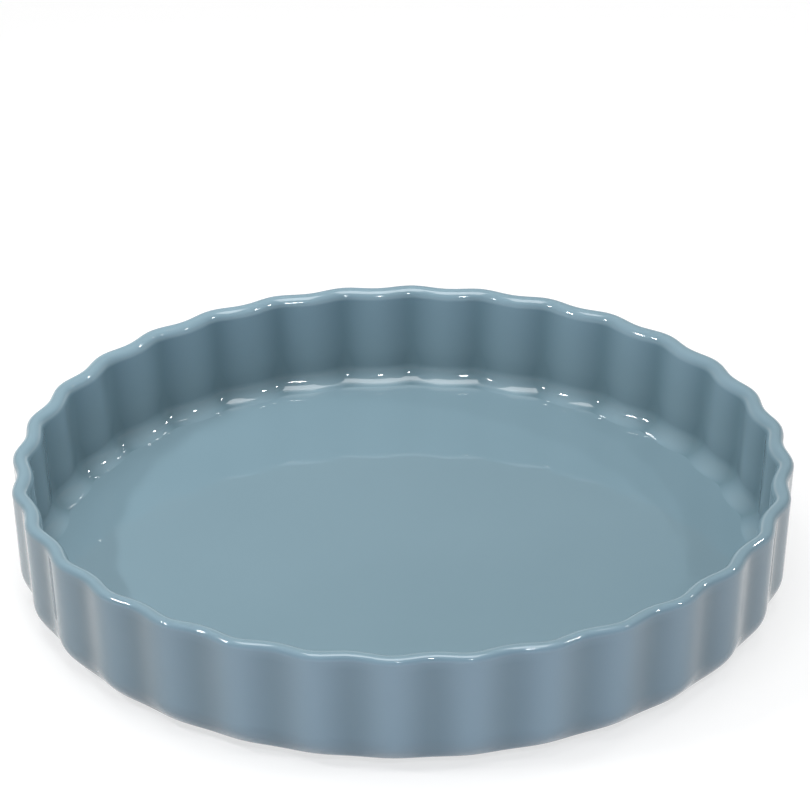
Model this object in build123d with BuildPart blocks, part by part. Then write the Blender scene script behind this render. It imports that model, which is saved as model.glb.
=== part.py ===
from build123d import *
from math import atan2, cos, hypot, pi, sin, sqrt, tan
import os

# A round fluted quiche dish, pressed in stoneware clay and glazed all over but for its foot.
# It stands on its foot ring at z = 0, with its axis on Z and the crest of one flute on +X.

# The dish over all
width_across_crests = 280.0  # over two opposite crests, at the top of the wall
overall_height = 45.6
inside_depth = 37.2  # from the top of the rim down to the inside floor
flute_count = 32

# The wall, a wave of rounded flutes that leans in towards the base and fades out round the outside corner
wall_thickness = 6.2
flute_depth = 2.0  # crest to valley, down the wall
base_flute_depth = 0.5  # crest to valley, at the height of the underside
wall_lean = 2.3  # how much less the mean radius is at the underside than at the top
rim_outside_round = 2.4
rim_inside_round = 3.6
inside_corner_round = 6.5

# The outside corner between the wall and the underside, taller than it is wide
corner_width = 8.7
corner_height = 12.6

# The foot ring that the dish stands on, bare of glaze
foot_height = 1.5
foot_width = 5.0
foot_inset = 8.0  # from the end of the outside corner's curve to the ring
foot_edge_round = 0.5

# The glass skin that the glaze leaves on the clay
glaze_thickness = 0.4

# How far a cutter or a joined piece runs past the face that it meets
overrun = 2.0

# The outside corner follows a quarter ellipse: a bevel that touches the ellipse half way along,
# with a round at each end. The shares give the bevel's place and how much of the room each round takes.
bevel_share = 2 - sqrt(2)
round_room_share = 0.98
bevel_width = corner_width * bevel_share
bevel_height = corner_height * bevel_share
bevel_angle = atan2(bevel_height, bevel_width)
half_bevel = hypot(bevel_width, bevel_height) / 2
low_round = round_room_share * min(corner_width - bevel_width, half_bevel) / tan(bevel_angle / 2)
high_round = round_room_share * min(corner_height - bevel_height, half_bevel) / tan((pi / 2 - bevel_angle) / 2)


def flute_outline(height):
    """The closed wave of the wall's outer face at a height: a crest arc, then a valley arc, all round."""
    height_share = (height - foot_height) / (overall_height - foot_height)
    full_share = min(1, (height - foot_height) / bevel_height)
    depth = base_flute_depth + (flute_depth - base_flute_depth) * full_share
    mean_radius = (width_across_crests - flute_depth) / 2 - wall_lean * (1 - height_share)
    half_pitch = pi / flute_count

    def on_circle(radius, angle):
        return Vector(radius * cos(angle), radius * sin(angle))

    with BuildLine() as outline:
        for flute in range(flute_count):
            middle = 2 * half_pitch * flute
            start = on_circle(mean_radius, middle - half_pitch / 2)
            crest = on_circle(mean_radius + depth / 2, middle)
            end = on_circle(mean_radius, middle + half_pitch / 2)
            next_start = on_circle(mean_radius, middle + half_pitch * 3 / 2)
            crest_arc = ThreePointArc(start, crest, end)
            TangentArc(end, next_start, tangent=crest_arc % 1)
    return outline.line


def fluted_block(levels):
    """A solid through the wall's outline at each level: a height, and how far in the outline is drawn there."""
    with BuildPart() as block:
        for height, drawn_in in levels:
            with BuildSketch(Plane.XY.offset(height)):
                with BuildLine():
                    add(flute_outline(height))
                make_face()
                if drawn_in:
                    offset(amount=-drawn_in, mode=Mode.REPLACE)
        loft(ruled=True)
    return block.part


def dish_above_foot(skin):
    """The dish without its foot ring, with every face drawn in by a skin's thickness."""
    bottom = foot_height + skin
    knee = foot_height + bevel_height
    top = overall_height - skin
    with BuildPart() as outside:
        add(fluted_block([(bottom, bevel_width + skin), (knee, skin), (top, skin)]))
        fillet(outside.edges().group_by(Axis.Z)[0], low_round - skin)
        knee_edges = outside.edges().filter_by_position(Axis.Z, knee - glaze_thickness, knee + glaze_thickness)
        fillet(knee_edges, high_round - skin)

    floor_level = overall_height - inside_depth - skin
    drawn_in = wall_thickness - skin
    with BuildPart() as hollow:
        add(fluted_block([(floor_level, drawn_in), (top + overrun, drawn_in)]))
        fillet(hollow.edges().group_by(Axis.Z)[0], inside_corner_round + skin)

    with BuildPart() as dish:
        add(outside.part)
        add(hollow.part, mode=Mode.SUBTRACT)
        rim = dish.faces().filter_by(Axis.Z).sort_by(Axis.Z)[-1]
        fillet(rim.outer_wire().edges(), rim_outside_round - skin)
        rim = dish.faces().filter_by(Axis.Z).sort_by(Axis.Z)[-1]
        fillet(rim.inner_wires()[0].edges(), rim_inside_round - skin)
    return dish.part


os.makedirs("parts", exist_ok=True)

# Fired clay: floor, fluted wall and foot ring, pressed in one piece
clay_above_foot = dish_above_foot(glaze_thickness)
wall_foot_radius = (width_across_crests - flute_depth) / 2 - wall_lean
foot_outer_radius = wall_foot_radius - corner_width - foot_inset
foot_top = foot_height + glaze_thickness + overrun

with BuildPart() as stoneware_body:
    add(clay_above_foot)
    with BuildSketch(Plane.XZ):
        with Locations((foot_outer_radius, 0)):
            ring_section = Rectangle(foot_width, foot_top, align=(Align.MAX, Align.MIN))
        fillet(ring_section.vertices().group_by(Axis.Y)[0], foot_edge_round)
    revolve(axis=Axis.Z)
stoneware_body.part.label = "stoneware_body"
export_step(stoneware_body.part, "parts/stoneware_body.step")

# Glaze: a glass skin fired onto every face of the clay but its foot ring
glazed_above_foot = dish_above_foot(0)

with BuildPart() as glaze_coat:
    add(glazed_above_foot)
    add(stoneware_body.part, mode=Mode.SUBTRACT)
glaze_coat.part.label = "glaze_coat"
export_step(glaze_coat.part, "parts/glaze_coat.step")
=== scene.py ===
import bpy
import numpy as np
from mathutils import Matrix, Vector


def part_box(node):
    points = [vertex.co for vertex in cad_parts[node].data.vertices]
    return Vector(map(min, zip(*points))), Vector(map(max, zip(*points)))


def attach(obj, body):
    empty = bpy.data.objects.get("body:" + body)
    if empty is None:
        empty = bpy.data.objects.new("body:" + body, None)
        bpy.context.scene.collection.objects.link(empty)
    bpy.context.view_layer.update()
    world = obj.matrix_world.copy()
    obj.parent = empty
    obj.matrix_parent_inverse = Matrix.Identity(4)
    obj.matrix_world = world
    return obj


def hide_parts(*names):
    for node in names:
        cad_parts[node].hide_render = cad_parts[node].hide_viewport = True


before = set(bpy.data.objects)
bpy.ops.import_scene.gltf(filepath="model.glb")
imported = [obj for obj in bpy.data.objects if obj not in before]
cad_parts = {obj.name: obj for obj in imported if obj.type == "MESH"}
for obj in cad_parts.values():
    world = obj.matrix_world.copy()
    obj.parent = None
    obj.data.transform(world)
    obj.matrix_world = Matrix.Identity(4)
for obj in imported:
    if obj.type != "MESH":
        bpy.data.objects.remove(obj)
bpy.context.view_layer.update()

# Clay body: floor, fluted wall and foot ring, pressed in buff stoneware and fired as one piece.
# Its shape is the frame's own. Only the bare foot ring shows, dry and matt, with the clay's
# fine grain, paler patches and a few iron specks.


class Value:
    """A value in a recipe's node tree. Arithmetic on it adds Math nodes."""

    def __init__(self, recipe, socket):
        self.recipe = recipe
        self.socket = socket

    def sum(self, operation, first, second):
        return self.recipe.node("Math", {"operation": operation}, {0: first, 1: second})

    def __add__(self, other):
        return self.sum("ADD", self, other)

    def __radd__(self, other):
        return self.sum("ADD", other, self)

    def __sub__(self, other):
        return self.sum("SUBTRACT", self, other)

    def __rsub__(self, other):
        return self.sum("SUBTRACT", other, self)

    def __mul__(self, other):
        return self.sum("MULTIPLY", self, other)

    def __rmul__(self, other):
        return self.sum("MULTIPLY", other, self)


class Recipe:
    """A node tree for a finish, a lamp or the world. node() adds any node to it."""

    def __init__(self, owner):
        owner.use_nodes = True
        self.tree = owner.node_tree
        self.tree.nodes.clear()

    def node(self, kind, settings=None, sockets=None, output=0):
        made = self.tree.nodes.new("ShaderNode" + kind)
        for name, setting in (settings or {}).items():
            if name == "stops":
                self.set_stops(made.color_ramp.elements, setting)
            else:
                setattr(made, name, setting)
        for name, value in (sockets or {}).items():
            if isinstance(value, Value):
                self.tree.links.new(value.socket, made.inputs[name])
            else:
                made.inputs[name].default_value = value
        return Value(self, made.outputs[output]) if made.outputs else None

    def set_stops(self, elements, stops):
        while len(elements) < len(stops):
            elements.new(0)
        for element, (place, shade) in zip(elements, stops):
            element.position = place
            element.color = (shade, shade, shade, 1)

    def ramp(self, value, *stops):
        return self.node("ValToRGB", {"stops": stops}, {"Fac": value})

    def blend(self, share, first, second):
        """A colour that goes from the first to the second as the share goes from 0 to 1."""
        settings = {"data_type": "RGBA", "clamp_factor": True}
        return self.node("Mix", settings, {0: share, 6: first, 7: second}, output=2)

    def noise(self, place, scale, detail=2, roughness=0.5):
        sockets = {"Vector": place, "Scale": scale, "Detail": detail, "Roughness": roughness}
        return self.node("TexNoise", sockets=sockets)


def finish(name):
    material = bpy.data.materials.new(name)
    return material, Recipe(material)


def colour(red, green, blue):
    return (red, green, blue, 1)


def mix_bare_clay():
    buff = colour(0.60, 0.50, 0.39)
    pale_buff = colour(0.70, 0.61, 0.50)
    iron = colour(0.23, 0.15, 0.10)
    grains_per_metre, patches_per_metre, specks_per_metre = 900, 60, 420
    grain_height = 0.0003
    material, recipe = finish("bare_clay")
    place = recipe.node("TexCoord", output="Object")
    grain = recipe.noise(place, grains_per_metre, detail=4)
    patch = recipe.noise(place, patches_per_metre)
    speck = recipe.ramp(recipe.noise(place, specks_per_metre, detail=1), (0.70, 0), (0.76, 1))
    clay = recipe.blend(grain * 0.5 + patch * 0.5, buff, pale_buff)
    coloured = recipe.blend(speck, clay, iron)
    relief = recipe.node("Bump", sockets={"Strength": 0.35, "Distance": grain_height, "Height": grain})
    shader = recipe.node(
        "BsdfPrincipled",
        sockets={
            "Base Color": coloured,
            "Roughness": 0.70 + grain * 0.2,
            "Normal": relief,
            "Specular IOR Level": 0.3,
        },
    )
    recipe.node("OutputMaterial", sockets={"Surface": shader})
    return material


def paint(piece, material):
    piece.data.materials.clear()
    piece.data.materials.append(material)


clay_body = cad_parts["stoneware_body"]
paint(clay_body, mix_bare_clay())

# Glaze: a glass skin fired on every face but the foot ring, where it ends in a rounded bead.
# It runs thin over the rim and the flutes' crests, and gathers a little deeper in the valleys
# and in the curve round the inside floor. Painted shade also darkens the walls and strengthens
# the flutes' bands, lighter on the crests and darker in the hollows. It is glossy and a soft grey-blue.

mm = 0.001
flutes = 32
glaze_low, glaze_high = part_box("glaze_coat")
underside = glaze_low.z
rim_top = glaze_high.z
top_radius = 138.98 * mm  # the wave's middle, at the top of the wall
wall_lean = 2.3 * mm
flute_depth = 2.0 * mm  # crest to valley
base_flute_depth = 0.5 * mm
flute_fade_height = 8.6 * mm  # the flutes fade out below this, above the underside
wall = 6.2 * mm
rim_outside_round = 2.4 * mm
rim_inside_round = 3.6 * mm
inside_depth = 37.2 * mm
inside_round = 6.5 * mm
corner_width = 8.7 * mm
corner_height = 12.6 * mm
foot_outer_radius = 120.0 * mm
foot_width = 5.0 * mm
glaze_thickness = 0.4 * mm
bead_width = 0.7 * mm

columns_per_flute = 28
angles = np.linspace(0, 2 * np.pi, flutes * columns_per_flute, endpoint=False)
arc_steps = (22, 20, 16, 14, 14)  # inside curve, rim's inside, rim's outside, wall's foot, underside
bead_turns = (22, 45, 67, 85)  # degrees round the glaze's edge
floor_ring_shares = (0.15, 0.4, 0.6, 0.75, 0.86, 0.93, 0.97)  # of the way from the axis to the curve
under_ring_shares = (0.3, 0.6, 0.85, 1)  # of the way from the wall's corner to the foot ring
disc_ring_shares = (0.3, 0.6, 0.9)  # of the way from the axis to the foot ring

# How deep the glaze lies, with painted shade laid in, as shares: all over, and what each place adds or
# takes
even_depth_share = 0.5
curve_depth_share = 0.30
rim_depth_share = 0.35
# Painted shade: the walls are drawn deeper, so darker, than the floor
wall_painted_shade_share = 0.08
# Partly glaze gathered in the flutes' hollows, partly painted shade: darker hollows, lighter crests
flute_pool_and_shade_share = 0.42


def rounded(corners, radii, steps):
    """The points of a line through these corners, with an arc of its radius at each inner corner."""
    points = [np.array(corners[0])]
    for before, corner, after, radius, count in zip(corners, corners[1:], corners[2:], radii, steps):
        corner = np.array(corner)
        way_in = (corner - before) / np.linalg.norm(corner - before)
        way_out = (after - corner) / np.linalg.norm(after - corner)
        turn = np.arccos(np.clip(way_in @ way_out, -1, 1))
        side = np.sign(way_in[0] * way_out[1] - way_in[1] * way_out[0])
        across = side * np.array([-way_in[1], way_in[0]])
        start = corner - way_in * radius * np.tan(turn / 2)
        for part in np.linspace(0, turn, count):
            points.append(start + way_in * radius * np.sin(part) + across * radius * (1 - np.cos(part)))
    points.append(np.array(corners[-1]))
    return points


def filled_in(points, longest):
    """The same line with more points, so that none of its steps is longer than this."""
    line = [points[0]]
    for point in points[1:]:
        count = max(1, int(np.ceil(np.linalg.norm(point - line[-1]) / longest)))
        start = line[-1]
        line += [start + (point - start) * step / count for step in range(1, count + 1)]
    return line


def wall_section(skin):
    """Points across the wall from the inside floor over the rim to the underside, drawn in by a skin.

    Each is an offset out from the wall's outer face, and a height."""
    bevel_share = 2 - np.sqrt(2)
    bevel_width, bevel_height = corner_width * bevel_share, corner_height * bevel_share
    bevel_angle = np.arctan2(bevel_height, bevel_width)
    half_bevel = np.hypot(bevel_width, bevel_height) / 2
    low_round = min(corner_width - bevel_width, half_bevel) / np.tan(bevel_angle / 2)
    high_round = min(corner_height - bevel_height, half_bevel) / np.tan((np.pi / 2 - bevel_angle) / 2)
    floor_reach, under_reach = 1.3 * inside_round, 1.1 * corner_width
    floor = rim_top - inside_depth - skin
    top = rim_top - skin
    corners = [
        (-wall + skin - floor_reach, floor),
        (-wall + skin, floor),
        (-wall + skin, top),
        (-skin, top),
        (-skin, underside + bevel_height),
        (-bevel_width - skin, underside + skin),
        (-under_reach, underside + skin),
    ]
    radii = [
        inside_round + skin,
        rim_inside_round - skin,
        rim_outside_round - skin,
        high_round - skin,
        low_round - skin,
    ]
    return rounded(corners, radii, arc_steps)


def ring(offset, height):
    """A ring of points at a height, this far out from the wall's outer face, square to its wave."""
    share_up = (height - underside) / (rim_top - underside)
    rise = np.clip((height - underside) / flute_fade_height, 0, 1)
    depth = base_flute_depth + (flute_depth - base_flute_depth) * rise * rise * (3 - 2 * rise)
    radius = top_radius - wall_lean * (1 - share_up) + depth / 2 * np.cos(flutes * angles)
    slope = -depth / 2 * flutes * np.sin(flutes * angles)
    out_of_centre = np.stack([np.cos(angles), np.sin(angles)], axis=1)
    along = np.stack([-np.sin(angles), np.cos(angles)], axis=1)
    square_out = out_of_centre * radius[:, None] - along * slope[:, None]
    square_out /= np.linalg.norm(square_out, axis=1)[:, None]
    flat = out_of_centre * radius[:, None] + square_out * offset
    return np.column_stack([flat, np.full(len(angles), height)])


def circle(radius, height):
    return np.column_stack([radius * np.cos(angles), radius * np.sin(angles), np.full(len(angles), height)])


def shrunk(edge, share):
    """A flat ring drawn in towards the axis."""
    return np.column_stack([edge[:, :2] * share, edge[:, 2]])


def closed_skin(rings, depths_and_shades, first_pole, last_pole, start):
    """Points and faces of a skin through these rings, closed by a pole at each end."""
    count = len(angles)
    points = [first_pole, *np.concatenate(rings), last_pole]
    shades = [depths_and_shades[0][0], *np.concatenate(depths_and_shades), depths_and_shades[-1][0]]
    last = start + 1 + count * len(rings)
    faces = []
    for column in range(count):
        beside = (column + 1) % count
        faces.append((start, start + 1 + column, start + 1 + beside))
        for row in range(len(rings) - 1):
            here = start + 1 + row * count
            faces.append((here + column, here + count + column, here + count + beside, here + beside))
        end = last - count
        faces.append((end + column, last, end + beside))
    return points, faces, shades


def depth_and_shade(inner_share, rim_share, wall_share):
    """How deep the glaze lies round one ring, with painted shade: deeper in the wave's hollows, shallower
    on its crests, and deeper down the walls.
    """
    wave = np.cos(flutes * angles)
    even = even_depth_share + curve_depth_share * inner_share - rim_depth_share * rim_share
    # The wall term and part of the wave term are painted shade, not glaze depth
    return even + wall_painted_shade_share * abs(wall_share) + flute_pool_and_shade_share * wall_share * wave


def skin_side(skin, longest):
    """The rings of one side of the skin, from the middle of the inside floor to the foot ring's edge."""
    section = filled_in(wall_section(skin), longest)
    rings, depths_and_shades = [], []
    floor_edge = ring(*section[0])
    for share in floor_ring_shares:
        rings.append(shrunk(floor_edge, share))
        depths_and_shades.append(depth_and_shade(0, 0, 0))
    for offset, height in section:
        from_rim = np.clip((rim_top - height) / rim_inside_round, 0, 1)
        from_floor = np.clip((height - rim_top + inside_depth) / (2 * inside_round), 0, 1)
        inside = offset < -wall / 2
        in_curve = (1 - abs(2 * from_floor - 1)) if inside else 0
        side = (from_rim if inside else -from_rim) * (0 if inside and from_floor == 0 else 1)
        rings.append(ring(offset, height))
        depths_and_shades.append(depth_and_shade(in_curve, 1 - from_rim, side))
    under_edge = rings[-1]
    bead_edge = circle(foot_outer_radius + bead_width, underside + skin)
    for share in under_ring_shares:
        rings.append(under_edge * (1 - share) + bead_edge * share)
        depths_and_shades.append(depth_and_shade(0, 0, 0))
    return rings, depths_and_shades


def bead(radius, way):
    """The rings of the glaze's rounded edge, against the foot ring's side at this radius."""
    rings = []
    for turn in np.radians(bead_turns):
        reach = radius + way * bead_width * (1 - np.sin(turn))
        rings.append(circle(reach, underside + glaze_thickness * (1 - np.cos(turn))))
    return rings


def make_glaze():
    face_step, back_step = 3.0 * mm, 9.0 * mm
    face_rings, face_depths_and_shades = skin_side(0, face_step)
    edge_rings = bead(foot_outer_radius, 1)
    back_rings, back_depths_and_shades = skin_side(glaze_thickness, back_step)
    back_rings[-1] = circle(foot_outer_radius, underside + glaze_thickness)
    edge_depths_and_shades = [depth_and_shade(0, 0, 0)] * len(edge_rings)
    floor = rim_top - inside_depth
    points, faces, shades = closed_skin(
        face_rings + edge_rings + back_rings[::-1],
        face_depths_and_shades + edge_depths_and_shades + back_depths_and_shades[::-1],
        (0, 0, floor),
        (0, 0, floor - glaze_thickness),
        0,
    )
    inner_radius = foot_outer_radius - foot_width
    edge_rings = bead(inner_radius, -1)
    top_shares = (1, *disc_ring_shares[::-1])
    under_rings = [circle(inner_radius * share, underside) for share in disc_ring_shares]
    over_rings = [circle(inner_radius * share, underside + glaze_thickness) for share in top_shares]
    under_rings += [circle(inner_radius - bead_width, underside), *edge_rings, *over_rings]
    more_points, more_faces, more_shades = closed_skin(
        under_rings,
        [depth_and_shade(0, 0, 0)] * len(under_rings),
        (0, 0, underside),
        (0, 0, underside + glaze_thickness),
        len(points),
    )
    mesh = bpy.data.meshes.new("glaze")
    mesh.from_pydata([tuple(point) for point in points + more_points], [], faces + more_faces)
    # Each point's glaze depth, with painted shade for the walls and the flutes' bands
    depth = mesh.attributes.new("glaze_depth", "FLOAT", "POINT")
    depth.data.foreach_set("value", np.array(shades + more_shades, dtype=np.float32))
    mesh.polygons.foreach_set("use_smooth", [True] * len(mesh.polygons))
    mesh.validate()
    glaze = bpy.data.objects.new("glaze", mesh)
    bpy.context.scene.collection.objects.link(glaze)
    return glaze


def mix_glaze():
    clouds_per_metre, ripples_per_metre = 14, 70
    ripple_height = 1.0 * mm
    # Painted light and shade: the thin colour also lightens the crests, and the deep one also darkens the
    # walls and hollows
    thin_and_lit = colour(0.228, 0.334, 0.390)
    deep_and_shaded = colour(0.142, 0.226, 0.268)
    material, recipe = finish("blue_grey_glaze")
    place = recipe.node("TexCoord", output="Object")
    depth = recipe.node("Attribute", {"attribute_name": "glaze_depth"}, output="Fac")
    cloud = recipe.noise(place, clouds_per_metre, detail=3)
    ripple = recipe.noise(place, ripples_per_metre, detail=1)
    share = recipe.ramp(depth + (cloud - 0.5) * 0.25, (0.0, 0), (1.0, 1))
    uneven = recipe.node("Bump", sockets={"Strength": 0.03, "Distance": ripple_height, "Height": ripple})
    shader = recipe.node(
        "BsdfPrincipled",
        sockets={
            "Base Color": recipe.blend(share, thin_and_lit, deep_and_shaded),
            "Roughness": 0.025 + cloud * 0.02,
            "IOR": 1.65,
            "Normal": uneven,
        },
    )
    recipe.node("OutputMaterial", sockets={"Surface": shader})
    return material


glaze = make_glaze()
paint(glaze, mix_glaze())
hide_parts("glaze_coat")
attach(glaze, "root")

# Table: a plain board that the dish stands on, cut square, painted matt and laid flat.
# It looks white to the eye and in the glaze, and it keeps the dish's own soft shadow.

table_half = 6.0


def mix_table():
    matt_paint = colour(0.38, 0.38, 0.38)
    shown_glow = 0.67  # with the light that falls on the paint, this makes white
    material, recipe = finish("white_table")
    seen = recipe.node("LightPath", output="Is Camera Ray")
    mirrored = recipe.node("LightPath", output="Is Glossy Ray")
    through = recipe.node("LightPath", output="Is Transmission Ray")
    shown = recipe.node("Math", {"operation": "MAXIMUM"}, {0: seen, 1: mirrored})
    shown = recipe.node("Math", {"operation": "MAXIMUM"}, {0: shown, 1: through})
    glow = recipe.node("Emission", sockets={"Color": colour(1, 1, 1), "Strength": shown * shown_glow})
    plain = recipe.node("BsdfDiffuse", sockets={"Color": matt_paint})
    both = recipe.node("AddShader", sockets={0: plain, 1: glow})
    recipe.node("OutputMaterial", sockets={"Surface": both})
    return material


table_mesh = bpy.data.meshes.new("table")
table_corners = [(table_half * x, table_half * y, 0) for x, y in ((-1, -1), (1, -1), (1, 1), (-1, 1))]
table_mesh.from_pydata(table_corners, [], [(0, 1, 2, 3)])
table = bpy.data.objects.new("table", table_mesh)
bpy.context.scene.collection.objects.link(table)
paint(table, mix_table())

# Studio: pale walls all round, white near the table and grey higher up, with a square softbox
# hung overhead, a small one close above the dish's left, a card low in front, and four narrow
# lamps on stands that leave the sharp streaks on the rim.


def light_walls():
    wall_light = 0.12
    world = bpy.context.scene.world or bpy.data.worlds.new("studio")
    bpy.context.scene.world = world
    recipe = Recipe(world)
    way = recipe.node("TexCoord", output="Generated")
    height = recipe.node("SeparateXYZ", sockets={"Vector": way}, output="Z")
    seen = recipe.node("LightPath", output="Is Camera Ray")
    mirrored = recipe.node("LightPath", output="Is Glossy Ray")
    through = recipe.node("LightPath", output="Is Transmission Ray")
    shown = recipe.node("Math", {"operation": "MAXIMUM"}, {0: seen, 1: mirrored})
    shown = recipe.node("Math", {"operation": "MAXIMUM"}, {0: shown, 1: through})
    backdrop = recipe.ramp(height, (0.0, 1.0), (0.10, 0.8), (0.30, 0.15), (1.0, 0.15))
    strength = shown * backdrop + (1 - shown) * wall_light
    glow = recipe.node("Background", sockets={"Color": colour(1, 1, 1), "Strength": strength})
    recipe.node("OutputWorld", sockets={"Surface": glow})


light_walls()


def add_lamp(name, azimuth, elevation, distance, size, radiance, shade=(1, 1, 1), mirrored=True):
    """A square-cornered lamp aimed at the dish. Azimuth 0 is the camera's side and 90 is on its right.

    A lamp that isn't mirrored gives light, but leaves no bright patch in the glaze."""
    turn, rise = np.radians(azimuth), np.radians(elevation)
    way = Vector((np.sin(turn) * np.cos(rise), -np.cos(turn) * np.cos(rise), np.sin(rise)))
    data = bpy.data.lights.new(name, "AREA")
    data.shape = "RECTANGLE"
    data.size, data.size_y = size
    data.energy = radiance * np.pi * size[0] * size[1]
    data.color = shade
    lamp = bpy.data.objects.new(name, data)
    lamp.location = way * distance
    lamp.rotation_mode = "QUATERNION"
    lamp.rotation_quaternion = way.to_track_quat("Z", "Y")
    lamp.visible_camera = False
    lamp.visible_glossy = mirrored
    bpy.context.scene.collection.objects.link(lamp)


add_lamp(
    "overhead_softbox",
    azimuth=0,
    elevation=89.9,
    distance=2.0,
    size=(1.2, 1.2),
    radiance=3.8,
)
add_lamp(
    "near_softbox",
    azimuth=-120,
    elevation=66,
    distance=0.37,
    size=(0.36, 0.24),
    radiance=2.5,
    mirrored=False,
)
add_lamp(
    "front_card",
    azimuth=6,
    elevation=4.5,
    distance=0.9,
    size=(0.5, 0.13),
    radiance=11.5,
    shade=(0.85, 0.95, 1.20),
    mirrored=False,
)
add_lamp(
    "left_lamp",
    azimuth=-75,
    elevation=47,
    distance=1.6,
    size=(0.32, 0.06),
    radiance=120,
)
add_lamp(
    "front_lamp",
    azimuth=14,
    elevation=47,
    distance=1.6,
    size=(0.20, 0.05),
    radiance=120,
)
add_lamp(
    "right_lamp",
    azimuth=82,
    elevation=47,
    distance=1.6,
    size=(0.13, 0.05),
    radiance=120,
)
add_lamp(
    "far_right_lamp",
    azimuth=125,
    elevation=42,
    distance=1.6,
    size=(0.13, 0.05),
    radiance=120,
)

# Camera: a long lens on a tripod, a little above the dish and just right of its front.
# It is turned and shifted so that the dish lies in the frame as it does in the photograph,
# whose size and middle are given in its own pixels.

camera_azimuth = 1.65
camera_elevation = 28.76
camera_roll = 0.0049
aim_below_rim = 2.3 * mm
rim_centre = Vector((0, 0, rim_top - aim_below_rim))
unit = 136.65 * mm  # the rim's radius, as the camera's fit measured it
camera_distance = 10.5384 * unit
pixels_per_unit = 381.6184
picture = 810
middle_x, middle_y = 402.55, 461.73

turn, rise = np.radians(camera_azimuth), np.radians(camera_elevation)
back = Vector((np.sin(turn) * np.cos(rise), -np.cos(turn) * np.cos(rise), np.sin(rise)))
right = Vector((np.cos(turn), np.sin(turn), 0))
up = back.cross(right)
rolled_right = right * np.cos(camera_roll) - up * np.sin(camera_roll)
rolled_up = right * np.sin(camera_roll) + up * np.cos(camera_roll)
camera_data = bpy.data.cameras.new("camera")
camera = bpy.data.objects.new("camera", camera_data)
bpy.context.scene.collection.objects.link(camera)
camera.matrix_world = Matrix.Translation(rim_centre + back * camera_distance) @ Matrix(
    (rolled_right, rolled_up, back)
).transposed().to_4x4()
sensor_width = 36
camera_data.sensor_width = sensor_width
camera_data.lens = pixels_per_unit * camera_distance / unit / picture * sensor_width
camera_data.shift_x = (picture / 2 - middle_x) / picture
camera_data.shift_y = (middle_y - picture / 2) / picture
bpy.context.scene.camera = camera
bpy.context.scene.view_settings.view_transform = "Standard"
